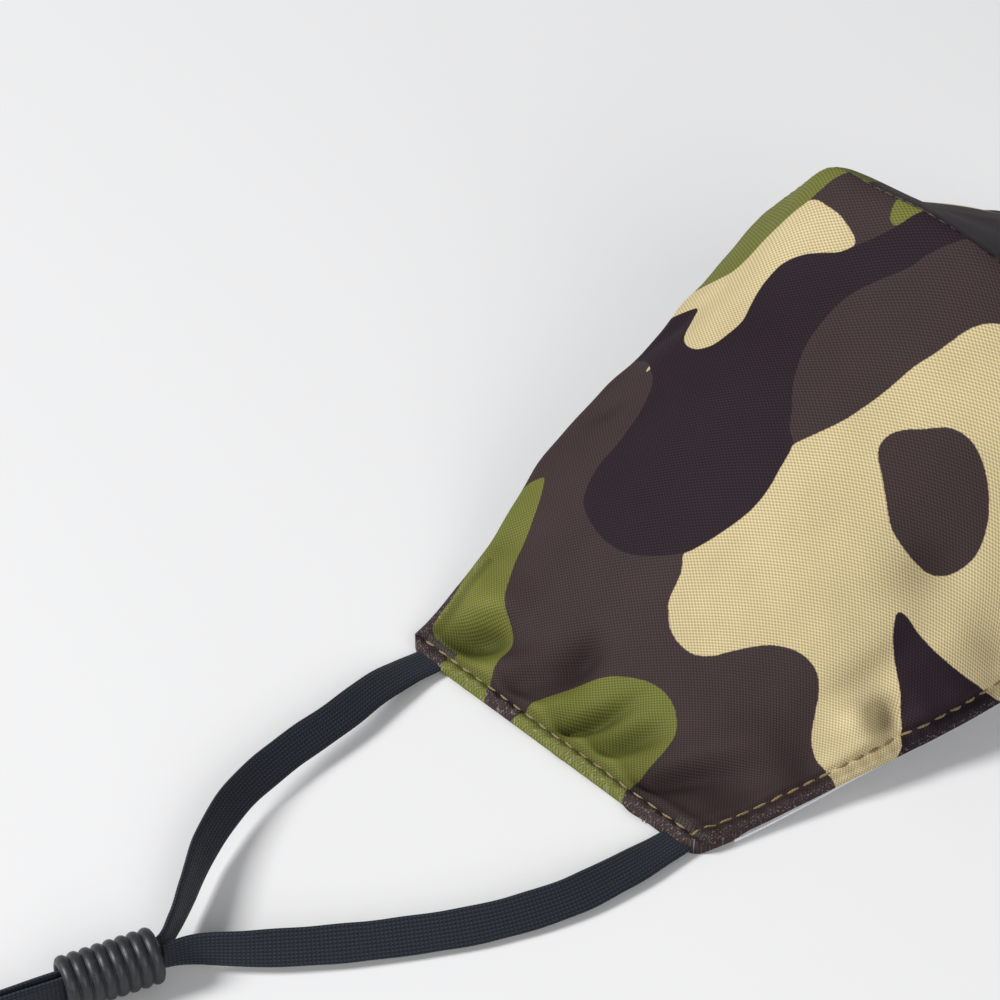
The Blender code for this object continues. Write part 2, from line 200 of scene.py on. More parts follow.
# Folds as (side, s, t, height, length along s, length along t, turn in degrees); lengths in mm.
FOLD_GAIN = 1.4
FOLDS = (
    (-1, 0.925, 0.85, -3.2, 4.2, 5.0, -15),
    (-1, 0.868, 0.87, 1.1, 4.5, 5.0, 0),
    (-1, 0.945, 0.745, 1.2, 5.0, 3.5, 10),
    (-1, 0.95, 0.665, -0.9, 7.0, 2.6, 0),
    (-1, 0.94, 0.485, -2.7, 8.5, 2.1, 4),
    (-1, 0.95, 0.425, 1.5, 7.0, 2.2, 4),
    (-1, 0.912, 0.385, -2.5, 6.5, 4.2, 20),
    (-1, 0.955, 0.335, 0.8, 6.0, 2.2, 0),
    (-1, 0.865, 0.60, -1.9, 6.0, 3.2, -25),
    (-1, 0.955, 0.575, 0.9, 6.0, 2.4, 0),
    (-1, 0.925, 0.225, -2.0, 8.5, 3.0, 18),
    (-1, 0.87, 0.14, -1.2, 7.0, 5.0, 0),
    (-1, 0.80, 0.20, 0.8, 8.0, 5.0, 20),
    (-1, 0.570, 0.08, -2.1, 3.4, 4.4, 10),
    (-1, 0.628, 0.115, 1.1, 4.0, 5.0, 10),
    (-1, 0.525, 0.06, 0.8, 3.8, 6.0, 0),
    (-1, 0.555, 0.17, -1.1, 12.0, 3.6, -6),
    (-1, 0.74, 0.075, -0.9, 4.0, 6.0, 10),
    (-1, 0.40, 0.25, -1.4, 8.0, 6.0, -20),
    (-1, 0.35, 0.08, -0.9, 5.0, 7.0, 0),
    (-1, 0.46, 0.06, 0.7, 5.0, 7.0, 0),
    (-1, 0.78, 0.955, -0.9, 5.0, 4.5, 0),
    (-1, 0.87, 0.975, 0.7, 4.0, 4.0, 0),
    (-1, 0.50, 0.93, -0.8, 5.0, 5.0, 0),
    (-1, 0.30, 0.95, -0.6, 7.0, 6.0, 0),
    (1, 0.937, 0.86, -1.9, 4.0, 6.0, 15),
    (1, 0.945, 0.76, 1.0, 5.0, 3.5, -10),
    (1, 0.94, 0.60, -1.7, 9.0, 2.6, -5),
    (1, 0.94, 0.53, 1.0, 8.0, 2.4, -5),
    (1, 0.91, 0.42, -1.7, 9.0, 4.0, -16),
    (1, 0.93, 0.30, 0.9, 8.0, 2.6, 10),
    (1, 0.92, 0.20, -1.2, 9.0, 3.0, 18),
    (1, 0.70, 0.08, -1.4, 5.0, 6.0, 0),
    (1, 0.62, 0.08, 0.9, 4.5, 6.0, 0),
    (1, 0.52, 0.16, -1.0, 11.0, 4.0, 8),
    (1, 0.42, 0.08, -0.9, 5.0, 7.0, 0),
    (1, 0.80, 0.95, -0.8, 5.0, 4.5, 0),
    (1, 0.55, 0.93, -0.8, 6.0, 5.0, 0),
)


def fold_height(s, t, side):
    """How far this side's folds lift or sink the cloth, in mm."""
    u = s * U_SPAN
    v = t * panel_length_t(s)
    total = np.zeros(np.broadcast(s, t).shape)
    for fold_side, s0, t0, height, along, across, turn in FOLDS:
        if fold_side != side:
            continue
        du = u - s0 * U_SPAN
        dv = v - t0 * panel_length_t(np.asarray(s0))
        angle = math.radians(turn)
        a = (du * math.cos(angle) + dv * math.sin(angle)) / along
        b = (-du * math.sin(angle) + dv * math.cos(angle)) / across
        total = total + height * np.exp(-(a**2) - b**2)
    return FOLD_GAIN * total


def relief(s, t, side):
    """How far the cloth stands out from the plain surface, in mm."""
    chin, nose, rim = edge_distances(s, t)
    free = np.minimum(chin, nose)
    edge = np.minimum(free, rim)
    u = s * U_SPAN
    v = t * panel_length_t(s)
    stitch_v = 0.5 - 0.5 * np.cos(2 * math.pi * v / STITCH_PITCH)
    stitch_u = 0.5 - 0.5 * np.cos(2 * math.pi * u / STITCH_PITCH)
    uneven_v = waves(v, np.zeros_like(v), 5 + side, 5, 7.0, 24.0)
    uneven_u = waves(u, np.zeros_like(u), 8 + side, 5, 9.0, 31.0)
    roll = (0.26 + 0.26 * uneven_v + 0.50 * stitch_v) * np.exp(-(((rim - 1.4) / 0.9) ** 2))
    sewn = -(0.50 + 0.25 * (1.0 - stitch_v)) * np.exp(-(((rim - HEM_STITCH_INSET) / 0.65) ** 2))
    beside = (0.42 + 0.16 * uneven_v) * np.exp(-(((rim - HEM_STITCH_INSET - 2.0) / 1.3) ** 2))
    hem = roll + (sewn + beside) * smooth(free, 0.3, 4.0)
    puff = (0.30 + 0.16 * uneven_u + 0.24 * stitch_u) * np.exp(-(((chin - 1.9) / 1.1) ** 2))
    groove = -(0.46 + 0.24 * (1.0 - stitch_u)) * np.exp(-(((chin - STITCH_INSET) / 0.7) ** 2))
    shoulder = (0.34 + 0.14 * uneven_u) * np.exp(-(((chin - STITCH_INSET - 2.1) / 1.4) ** 2))
    sewn_in = smooth(rim, 1.5, 5.0)
    chin_hem = (puff + groove + shoulder) * sewn_in
    turned = 0.22 * np.exp(-(((nose - 1.6) / 1.3) ** 2)) + 0.24 * uneven_u * np.exp(-nose / 3.0)
    turned = turned * sewn_in
    pulled = 0.55 * waves(v, 0.25 * u, 11 + side, 6, 5.5, 13.0) * np.exp(-rim / 9.0)
    pulled = pulled * smooth(rim, HEM_STITCH_INSET, 8.0) * smooth(free, 1.0, 6.0)
    hemmed = 0.30 * waves(u, 0.3 * v, 23 + side, 6, 8.0, 22.0)
    hemmed = hemmed * (np.exp(-chin / 8.0) + 0.6 * np.exp(-nose / 8.0)) * smooth(free, 3.0, 8.0)
    soft = 0.34 * waves(u, v, 31 + side, 7, 26.0, 70.0) * smooth(edge, 4.0, 18.0)
    seam = -0.14 * np.exp(-((u / 1.0) ** 2)) + 0.06 * np.exp(-(((u - 2.6) / 1.5) ** 2))
    inward = smooth(rim, HEM_STITCH_INSET, 9.0)
    folds = fold_height(s, t, side) * smooth(rim, 2.4, 6.0) * (0.45 + 0.55 * smooth(edge, 2.2, 7.0))
    lift = 0.9 * np.exp(-(((s - 0.62) / 0.2) ** 2)) * np.exp(-chin / 9.0)
    return hem + chin_hem + turned + (pulled + hemmed + soft) * inward + folds + seam + lift


def rounded_drop(edge, radius):
    """How far a rounded edge falls from the flat at this distance from its rim."""
    inside = np.clip(radius - edge, 0.0, radius)
    return radius - np.sqrt(np.clip(radius**2 - inside**2, 0.0, None))


def rounded_corners(s, t):
    """Moves the two free corners' grid lines onto an arc."""
    out_s, out_t = s.copy(), t.copy()
    reach_s = CORNER_RADIUS / 100.0
    reach_t = CORNER_RADIUS / 74.0
    x = np.clip((s - RIM_S + reach_s) / reach_s, 0.0, 1.0)
    for flip in (False, True):
        level = 1.0 - t if flip else t
        y = np.clip((reach_t - level) / reach_t, 0.0, 1.0)
        both = (x > 0) & (y > 0)
        new_x = x * np.sqrt(1.0 - y**2 / 2.0)
        new_y = y * np.sqrt(1.0 - x**2 / 2.0)
        moved_s = RIM_S - reach_s + new_x * reach_s
        moved_level = reach_t - new_y * reach_t
        out_s = np.where(both, moved_s, out_s)
        out_t = np.where(both, 1.0 - moved_level if flip else moved_level, out_t)
    return out_s, out_t


def cloth_point(s, t, side, depth):
    """A point at this depth under the cloth's shaped outer face, mitred at the centre seam."""
    top = base_point(s, t)
    normal = base_normal(s, t)
    depth = (np.broadcast_to(depth, s.shape) - relief(s, t, side))[..., None]
    point = top - depth * normal
    upright = normal * np.array([0.0, 1.0, 1.0])
    mitred = top - depth * upright / np.sum(upright**2, axis=-1, keepdims=True)
    return np.where(point[..., :1] > -0.08, mitred * [0, 1, 1] - [0.08, 0, 0], point)


# ---------------------------------------------------------------- meshes


def even_with_ends(cells, span, fine):
    """Grid lines over 0 to span, with extra lines within fine of both ends, for the turn round an edge."""
    steps = fine * np.array([0.0, 0.03, 0.1, 0.2, 0.35, 0.55, 0.8])
    lines = [x for x in np.linspace(0.0, span, cells + 1) if fine < x < span - fine]
    return np.array(sorted([*lines, *steps, *(span - steps)]))


def slab_faces(rows, columns):
    """Faces of a closed slab: a grid of points on top, the same grid below, and the wall round them."""
    index = np.arange(rows * columns).reshape(rows, columns)
    a, b = index[:-1, :-1], index[:-1, 1:]
    c, d = index[1:, 1:], index[1:, :-1]
    top = np.stack([a, b, c, d], -1).reshape(-1, 4)
    bottom = top[:, ::-1] + rows * columns
    rim = np.concatenate([index[0, :], index[1:, -1], index[-1, -2::-1], index[-2:0:-1, 0]])
    following = np.roll(rim, -1)
    wall = np.stack([following, rim, rim + rows * columns, following + rows * columns], -1)
    return np.concatenate([top, bottom, wall])


def new_mesh(name, points, faces, look, floats=None, uv=None):
    """One smooth mesh object from points in mm, with its own float values and UVs, both by vertex."""
    mesh = bpy.data.meshes.new(name)
    mesh.from_pydata((points * MM).tolist(), [], faces.tolist() if isinstance(faces, np.ndarray) else faces)
    for key, values in (floats or {}).items():
        layer = mesh.attributes.new(key, "FLOAT", "POINT")
        layer.data.foreach_set("value", np.asarray(values, np.float32).ravel())
    if uv is not None:
        corners = np.empty(len(mesh.loops), np.int32)
        mesh.loops.foreach_get("vertex_index", corners)
        layer = mesh.uv_layers.new(name="cloth")
        layer.data.foreach_set("uv", np.asarray(uv, np.float32)[corners].ravel())
    mesh.polygons.foreach_set("use_smooth", np.ones(len(mesh.polygons), bool))
    mesh.materials.append(look)
    mesh.update()
    obj = bpy.data.objects.new(name, mesh)
    bpy.context.scene.collection.objects.link(obj)
    return obj


def to_side(points, faces, side):
    """Mirrors the left side's points to the right, turning the faces round to match."""
    points = np.array(points, float)
    faces = np.array(faces)
    if side > 0:
        points[:, 0] *= -1
        faces = faces[:, ::-1]
    return points, faces


def add_slab(name, side, top, bottom, look, floats=None, uv=None):
    rows, columns = top.shape[:2]
    points = np.concatenate([top.reshape(-1, 3), bottom.reshape(-1, 3)])
    points, faces = to_side(points, slab_faces(rows, columns), side)
    doubled = {key: np.concatenate([v.ravel(), v.ravel()]) for key, v in (floats or {}).items()}
    if uv is not None:
        uv = np.concatenate([uv.reshape(-1, 2), uv.reshape(-1, 2)])
    return new_mesh(name, points, faces, look, doubled, uv)


def running_length(points):
    """How far along a line of points each of them is."""
    return np.concatenate([[0.0], np.cumsum(np.linalg.norm(np.diff(points, axis=0), axis=1))])


def read_along(places, length, values):
    """The line's values at these lengths, by straight steps between its points."""
    return np.stack([np.interp(places, length, values[:, k]) for k in range(3)], -1)


def spline(a, b, c, d, steps):
    """Points of a Catmull-Rom curve from b up to c, which also passes a and d."""
    cubic = -a + 3 * b - 3 * c + d
    square = 2 * a - 5 * b + 4 * c - d
    return [0.5 * (2 * b + (c - a) * u + square * u**2 + cubic * u**3) for u in np.arange(steps) / steps]


# ---------------------------------------------------------------- print

# Closed outlines in percent of the panel: s from the centre seam, t from the chin.
TAN_LEFT = (
    (
        (17, 48), (21, 49), (25.5, 49.5), (30, 50.3), (34.4, 51.5), (38.3, 53.3), (41.6, 54.8), (44.2, 54.2),
        (48.7, 52.8), (53.6, 52.6), (58.8, 54.1), (62, 55.6), (64, 57), (65.1, 56.2), (66.8, 54.9),
        (70.7, 53.4), (72.6, 51.4), (74, 49.2), (74.8, 46), (74.6, 42), (72.8, 38.9), (70.5, 37),
        (66.4, 33.5), (64.2, 30.4), (62.9, 26.9), (63, 23), (64.8, 19.6), (67.1, 16.9), (70.2, 13),
        (71.7, 9), (71.8, 5), (70.5, -3), (52, -3), (38, -3), (34, 6), (26, 14), (14, 22), (7, 32),
        (5, 40), (9, 46),
    ),
    (
        (6.6, 81.9), (6.4, 78), (6.6, 75.2), (7.5, 72.7), (8.6, 70.6), (9.8, 69.8), (10.8, 70.2),
        (11.8, 71.6), (13.1, 74.4), (14.5, 76.9), (16.9, 79.3), (19.9, 80.1), (22.5, 80), (25, 79.4),
        (28, 78.6), (31.1, 79.2), (34, 80.5), (35.5, 83), (35.2, 86), (33.6, 88.4), (30.3, 90.5),
        (28.3, 91.9), (26.7, 92.7), (26.2, 94.2), (27, 96.5), (28.4, 100), (28.4, 104), (22, 104),
        (15, 94), (10, 88),
    ),
    ((39.4, 91.1), (40.4, 91.7), (41.4, 91), (40.4, 90.5)),
)
BROWN_LEFT = (
    (
        (26.5, 41.4), (28.2, 43), (30.4, 44.4), (32.7, 44.5), (34.4, 43.4), (36.2, 40.5), (38.4, 37),
        (40.1, 34), (40.6, 31), (40.3, 27), (39.2, 24), (36.5, 22.2), (32, 22.2), (27.5, 25), (23.8, 30),
        (22.3, 35), (23.5, 38.8),
    ),
)
GREEN_LEFT = (
    (
        (64.8, 95.3), (66.3, 93.9), (68.5, 92.7), (71.5, 91.7), (76, 90.6), (80, 88.8), (83.1, 86.6),
        (85.9, 83.6), (88.5, 79.5), (90.6, 77), (95, 75), (98, 73.4), (100.5, 71.5), (105, 70), (105, 88),
        (101, 87.5), (99.4, 87), (98.4, 90), (97.5, 94), (95.9, 97), (93.6, 98), (91.2, 99), (88, 102),
        (80, 104), (72, 103), (69, 100.6), (67.4, 99), (65.8, 97.3),
    ),
    (
        (105, 62.5), (100.5, 60.5), (97.5, 60.7), (95, 60), (92, 58.5), (88.4, 56), (85.5, 52.7),
        (83.5, 48.8), (82, 44), (81.9, 39.5), (83, 35.5), (85.5, 31.8), (89, 29.5), (92.3, 28.3),
        (95.5, 27.2), (99.5, 24.8), (105, 24),
    ),
    (
        (21, 104), (20.9, 96.5), (19.2, 90.8), (16.8, 88.8), (12.6, 87.2), (8.8, 84), (6.6, 81.9), (2.3, 80),
        (-1, 78), (-6, 76), (-6, 104),
    ),
    ((4.3, 66.1), (3.8, 67.3), (2.6, 68.1), (-0.4, 68.6), (-5, 66), (-5, 61), (0.7, 64.4), (2.8, 65.1)),
)
BLACK_LEFT = (
    (
        (40.8, 90.6), (42.4, 88), (44.6, 86.2), (49.3, 84.3), (55, 83.7), (59, 84.1), (63, 83.6), (66, 82),
        (68.2, 77.5), (69.3, 72), (69, 66.5), (67, 61.5), (64, 57), (61.3, 55.3), (56, 53.2), (51, 52.5),
        (46.3, 53.5), (41.6, 54.8), (40, 57), (37.5, 59), (34.4, 61.7), (32, 63.2), (28, 65), (24, 65.8),
        (20, 65.8), (16.4, 64.8), (12.7, 62.4), (9, 59.9), (5, 58.6), (-5, 54), (-5, 61), (0.7, 64.4),
        (4.5, 66), (7.9, 68.1), (9.9, 69.8), (11.8, 71.6), (13.1, 74.4), (14.5, 76.9), (16.9, 79.3),
        (19.9, 80.1), (22.5, 80), (25, 79.4), (28, 78.6), (31.1, 79.2), (34, 80.5), (35.5, 83), (35.2, 86),
        (33.6, 88.4), (30.3, 90.5), (28.3, 91.9), (26.7, 92.7), (26.2, 94.2), (27, 96.5), (28.4, 100),
        (29, 105), (38, 105), (38.6, 97), (39.4, 93),
    ),
    (
        (46.9, 22.7), (48.2, 22), (50, 19.7), (52, 15.3), (54, 10), (56, 5.2), (58, 2), (61, -4), (35, -4),
        (38.5, 2), (42.5, 8), (45, 13.5), (46, 18), (46.2, 21),
    ),
)
TAN_RIGHT = (
    (
        (-3, 30), (8, 24), (20, 26), (30, 34), (40, 36), (50, 30), (60, 34), (64, 44), (58, 52), (48, 52),
        (38, 48), (30, 52), (22, 50), (12, 42), (-3, 42),
    ),
    ((30, 86), (42, 82), (54, 84), (60, 90), (56, 97), (44, 95), (34, 96)),
    ((74, -3), (78, 10), (88, 14), (92, 8), (90, -3)),
)
BROWN_RIGHT = (
    ((38, 42), (46, 45), (54, 44), (56, 39), (48, 36), (41, 38)),
    ((-4, 66), (3, 67), (8, 72), (7, 80), (-4, 82)),
)
GREEN_RIGHT = (
    ((-4, 78), (4, 76), (12, 82), (22, 88), (28, 97), (26, 104), (-4, 104)),
    ((70, 52), (80, 48), (90, 52), (97, 60), (104, 62), (104, 82), (92, 80), (84, 72), (74, 66)),
    ((10, 4), (22, 8), (34, 6), (44, 10), (46, -4), (10, -4)),
)
BLACK_RIGHT = (
    (
        (-4, 53), (6, 52), (16, 56), (28, 60), (40, 60), (52, 64), (62, 72), (58, 80), (46, 76), (34, 74),
        (22, 78), (12, 72), (6, 64), (-4, 62),
    ),
    ((66, 16), (74, 20), (80, 30), (90, 34), (104, 30), (104, 12), (94, 20), (84, 20), (76, 12), (68, 10)),
)
PRINTS = {
    -1: {"tan": TAN_LEFT, "brown": BROWN_LEFT, "green": GREEN_LEFT, "black": BLACK_LEFT},
    1: {"tan": TAN_RIGHT, "brown": BROWN_RIGHT, "green": GREEN_RIGHT, "black": BLACK_RIGHT},
}
PRINT_SCALE = np.array([1.10, 1.10])


def closed_curve(corners, steps=8):
    """A Catmull-Rom curve through the corners and back to the first."""
    corners = np.array(corners, float) * PRINT_SCALE
    count = len(corners)
    points = []
    for i in range(count):
        a, b, c, d = (corners[(i + k) % count] for k in (-1, 0, 1, 2))
        points += spline(a, b, c, d, steps)
    return np.array(points)


def signed_distance(points, curve):
    """Each point's distance from a closed curve, above 0 inside it."""
    following = np.roll(curve, -1, axis=0)
    nearest = np.full(len(points), 1e9)
    inside = np.zeros(len(points), bool)
    for (x0, y0), (x1, y1) in zip(curve, following):
        dx, dy = x1 - x0, y1 - y0
        px, py = points[:, 0] - x0, points[:, 1] - y0
        share = np.clip((px * dx + py * dy) / max(dx * dx + dy * dy, 1e-12), 0.0, 1.0)
        nearest = np.minimum(nearest, (px - share * dx) ** 2 + (py - share * dy) ** 2)
        if abs(dy) > 1e-12:
            crosses = (y0 > points[:, 1]) != (y1 > points[:, 1])
            inside ^= crosses & (points[:, 0] < x0 + dx * (points[:, 1] - y0) / dy)
    return np.where(inside, 1.0, -1.0) * np.sqrt(nearest)


def print_fields(s, t, side):
    """How deep each point lies inside each print colour, by the colour's attribute name."""
    points = np.stack([s.ravel() * 100.0, t.ravel() * 100.0], -1) * PRINT_SCALE
    fields = {}
    for colour, outlines in PRINTS[side].items():
        found = [signed_distance(points, closed_curve(outline)) for outline in outlines]
        fields["print_" + colour] = np.max(found, axis=0).reshape(s.shape)
    return fields


# ---------------------------------------------------------------- shaders


def shader(name, colour, roughness, metallic=0.0, sheen=0.0, specular=0.5):
    look = bpy.data.materials.new(name)
    look.use_nodes = True
    tree = look.node_tree
    principled = tree.nodes["Principled BSDF"]
    principled.inputs["Base Color"].default_value = (*colour, 1.0)
    principled.inputs["Roughness"].default_value = roughness
    principled.inputs["Metallic"].default_value = metallic
    principled.inputs["Specular IOR Level"].default_value = specular
    if sheen:
        principled.inputs["Sheen Weight"].default_value = sheen
        principled.inputs["Sheen Roughness"].default_value = 0.45
    return look, tree, principled


def maths(tree, operation, first, second=None, third=None):
    node = tree.nodes.new("ShaderNodeMath")
    node.operation = operation
    for socket, value in zip(node.inputs, (first, second, third)):
        if value is None:
            continue
        if isinstance(value, (int, float)):
            socket.default_value = value
        else:
            tree.links.new(value, socket)
    return node.outputs[0]


def ramp(tree, value, low, high):
    node = tree.nodes.new("ShaderNodeMapRange")
    node.interpolation_type = "SMOOTHSTEP"
    node.inputs["From Min"].default_value = low
    node.inputs["From Max"].default_value = high
    tree.links.new(value, node.inputs["Value"])
    return node.outputs["Result"]


def mix(tree, factor, first, second, blend="MIX"):
    node = tree.nodes.new("ShaderNodeMix")
    node.data_type = "RGBA"
    node.blend_type = blend
    for index, value in ((0, factor), (6, first), (7, second)):
        socket = node.inputs[index]
        if isinstance(value, (int, float)):
            socket.default_value = value
        elif isinstance(value, tuple):
            socket.default_value = (*value, 1.0)
        else:
            tree.links.new(value, socket)
    return node.outputs[2]


def tint(tree, colour, shade):
    """A colour times a grey shade."""
    grey = tree.nodes.new("ShaderNodeCombineColor")
    for socket in grey.inputs[:3]:
        tree.links.new(shade, socket)
    return mix(tree, 1.0, colour, grey.outputs[0], "MULTIPLY")


def attribute(tree, name):
    node = tree.nodes.new("ShaderNodeAttribute")
    node.attribute_name = name
    return node.outputs["Fac"]


def uv_parts(tree):
    """The cloth's own UV, and its U and V apart, in millimetres."""
    node = tree.nodes.new("ShaderNodeUVMap")
    node.uv_map = "cloth"
    split = tree.nodes.new("ShaderNodeSeparateXYZ")
    tree.links.new(node.outputs["UV"], split.inputs[0])
    return node.outputs["UV"], split.outputs[0], split.outputs[1]


def noise(tree, vector, scale, detail=2.0, rough=0.5):
    node = tree.nodes.new("ShaderNodeTexNoise")
    node.inputs["Scale"].default_value = scale
    node.inputs["Detail"].default_value = detail
    node.inputs["Roughness"].default_value = rough
    tree.links.new(vector, node.inputs["Vector"])
    return node.outputs["Fac"]


def bump(tree, principled, height, strength, distance):
    node = tree.nodes.new("ShaderNodeBump")
    node.inputs["Strength"].default_value = strength
    node.inputs["Distance"].default_value = distance
    tree.links.new(height, node.inputs["Height"])
    tree.links.new(node.outputs["Normal"], principled.inputs["Normal"])


def knit_height(tree, u, v, pitch):
    """Staggered rows of small loops: a product of two crossed waves."""
    turn = 2 * math.pi / pitch
    sideways = maths(tree, "SINE", maths(tree, "MULTIPLY", u, turn))
    upwards = maths(tree, "SINE", maths(tree, "MULTIPLY", v, turn * 0.58))
    return maths(tree, "MULTIPLY_ADD", maths(tree, "MULTIPLY", sideways, upwards), 0.5, 0.5)


BROWN = (0.043, 0.028, 0.028)
TAN = (0.510, 0.420, 0.235)
GREEN = (0.135, 0.142, 0.032)
BLACK = (0.020, 0.012, 0.017)
FIBRE = (0.42, 0.40, 0.39)
LINING_WHITE = (0.80, 0.80, 0.83)


def painted_fold_shade(tree):
    """Painted shade and painted highlight in the cloth's colour: darker down in the folds and in the groove
    along the hem's stitches, lighter on the crests.
    """
    edge = attribute(tree, "hem_distance")
    fold = attribute(tree, "fold")
    # the band along the hem's stitch groove, which gets painted shade
    painted_groove_shade = maths(tree, "SUBTRACT", 1.0, ramp(tree, edge, 3.4, 4.6))
    painted_groove_shade = maths(tree, "MULTIPLY", painted_groove_shade, ramp(tree, edge, 1.9, 2.7))
    painted_hollow_shade = ramp(tree, maths(tree, "MULTIPLY", fold, -1.0), 0.2, 3.4)
    painted_crest_highlight = ramp(tree, fold, 0.1, 1.8)
    painted_shading = maths(tree, "MULTIPLY_ADD", painted_hollow_shade, -0.45, 1.0)
    painted_shading = maths(tree, "MULTIPLY_ADD", painted_crest_highlight, 0.20, painted_shading)
    return maths(tree, "MULTIPLY_ADD", painted_groove_shade, -0.25, painted_shading)


def camo_look():
    """The print, its patches' edges a little uneven, on a knit with pale fibres along the hem."""
    look, tree, principled = shader("camo_cloth", BROWN, 0.6, sheen=0.0, specular=0.08)
    vector, u, v = uv_parts(tree)
    wobble = maths(tree, "MULTIPLY", maths(tree, "SUBTRACT", noise(tree, vector, 1.6, 2.0), 0.5), 0.34)
    colour = BROWN
    for key, value in (("tan", TAN), ("brown", BROWN), ("green", GREEN), ("black", BLACK)):
        field = attribute(tree, "print_" + key)
        inside = ramp(tree, maths(tree, "ADD", field, wobble), -0.10, 0.14)
        colour = mix(tree, inside, colour, value)
    knit = knit_height(tree, u, v, 0.66)
    shade = maths(tree, "MULTIPLY_ADD", knit, 0.80, 0.56)
    patchy = maths(tree, "MULTIPLY_ADD", noise(tree, vector, 0.09, 3.0), 0.24, 0.88)
    grain = maths(tree, "MULTIPLY_ADD", noise(tree, vector, 3.1, 2.0, 0.7), 0.22, 0.89)
    total = maths(tree, "MULTIPLY", maths(tree, "MULTIPLY", shade, patchy), grain)
    # painted shade in the fold hollows and the hem's stitch groove, painted highlight on the fold crests
    total = maths(tree, "MULTIPLY", total, painted_fold_shade(tree))
    near_hem = maths(tree, "SUBTRACT", 1.0, ramp(tree, attribute(tree, "hem_distance"), 1.6, 3.2))
    specks = ramp(tree, noise(tree, vector, 1.7, 3.0, 0.7), 0.56, 0.64)
    specks = maths(tree, "MULTIPLY", maths(tree, "MULTIPLY", specks, near_hem), 0.42)
    speckled = mix(tree, specks, tint(tree, colour, total), FIBRE)
    tree.links.new(speckled, principled.inputs["Base Color"])
    fuzz = maths(tree, "MULTIPLY_ADD", noise(tree, vector, 5.0, 2.0), 0.5, knit)
    bump(tree, principled, fuzz, 0.55, 0.00012)
    return look


def lining_look():
    look, tree, principled = shader("lining_cloth", LINING_WHITE, 0.85, sheen=0.15, specular=0.2)
    _, u, v = uv_parts(tree)
    knit = knit_height(tree, u, v, 0.8)
    shade = maths(tree, "MULTIPLY_ADD", knit, 0.12, 0.92)
    tree.links.new(tint(tree, LINING_WHITE, shade), principled.inputs["Base Color"])
    bump(tree, principled, knit, 0.5, 0.0001)
    return look


def felt_look():
    look, tree, principled = shader("felt", (0.74, 0.74, 0.73), 0.95, specular=0.1)
    vector = uv_parts(tree)[0]
    bump(tree, principled, noise(tree, vector, 2.0, 4.0, 0.7), 0.6, 0.0001)
    return look


def thread_look(name, colour):
    """Twisted thread: slanting bands round it."""
    look, tree, principled = shader(name, colour, 0.55, sheen=0.3, specular=0.35)
    _, u, v = uv_parts(tree)
    twist = maths(tree, "SINE", maths(tree, "MULTIPLY", maths(tree, "ADD", u, v), 11.0))
    shade = maths(tree, "MULTIPLY_ADD", twist, 0.22, 0.85)
    tree.links.new(tint(tree, colour, shade), principled.inputs["Base Color"])
    bump(tree, principled, twist, 0.7, 0.00008)
    return look


def elastic_look():
    """U runs across the band and V along it, both in mm."""
    look, tree, principled = shader("elastic_knit", (0.010, 0.013, 0.020), 0.72, sheen=0.08, specular=0.2)
    vector, u, v = uv_parts(tree)
    ribs = maths(tree, "SINE", maths(tree, "MULTIPLY", u, 2 * math.pi / 0.62))
    bent = maths(tree, "MULTIPLY_ADD", v, 2 * math.pi / 0.7, maths(tree, "MULTIPLY", ribs, 0.9))
    loops = maths(tree, "SINE", bent)
    knit = maths(tree, "MULTIPLY_ADD", maths(tree, "MULTIPLY", ribs, loops), 0.5, 0.5)
    tall = maths(tree, "MULTIPLY_ADD", ribs, 0.35, knit)
    yarn = mix(tree, ramp(tree, tall, 0.0, 1.3), (0.006, 0.008, 0.013), (0.030, 0.038, 0.052))
    fleck = ramp(tree, noise(tree, vector, 2.3, 3.0, 0.6), 0.56, 0.80)
    yarn = mix(tree, maths(tree, "MULTIPLY", fleck, 0.35), yarn, (0.05, 0.062, 0.082))
    tree.links.new(yarn, principled.inputs["Base Color"])
    bump(tree, principled, tall, 0.8, 0.00012)
    return look


def rubber_look():
    look, tree, principled = shader("ribbed_rubber", (0.021, 0.023, 0.026), 0.5, specular=0.42)
    place = tree.nodes.new("ShaderNodeTexCoord").outputs["Object"]
    dust = ramp(tree, noise(tree, place, 900.0, 4.0, 0.6), 0.45, 0.75)
    dusty = mix(tree, maths(tree, "MULTIPLY", dust, 0.5), (0.019, 0.021, 0.024), (0.043, 0.046, 0.050))
    tree.links.new(dusty, principled.inputs["Base Color"])
    rough = maths(tree, "MULTIPLY_ADD", dust, 0.2, 0.42)
    tree.links.new(rough, principled.inputs["Roughness"])
    bump(tree, principled, noise(tree, place, 2600.0, 3.0), 0.25, 0.0001)
    return look


LOOKS = {
    "camo": camo_look(),
    "lining": lining_look(),
    "felt": felt_look(),
    "thread": thread_look("tan_stitch", (0.36, 0.25, 0.105)),
    "dark_thread": thread_look("brown_stitch", (0.060, 0.045, 0.034)),
    "elastic": elastic_look(),
    "rubber": rubber_look(),
    "wire": shader("wire_aluminium", (0.72, 0.72, 0.74), 0.4, metallic=1.0)[0],
}


# ---------------------------------------------------------------- mask body


def panel_grid(s_high, s_cells, t_cells, low=0.0, high=1.0):
    """The (s, t) of a layer's grid, finer near its edges."""
    s_lines = even_with_ends(s_cells, s_high, 0.016)
    t_lines = low + even_with_ends(t_cells, high - low, 0.016)
    return np.meshgrid(s_lines, t_lines, indexing="ij")


def panel_uv(s, t):
    return np.stack([s * U_SPAN, t * V_SPAN], -1)


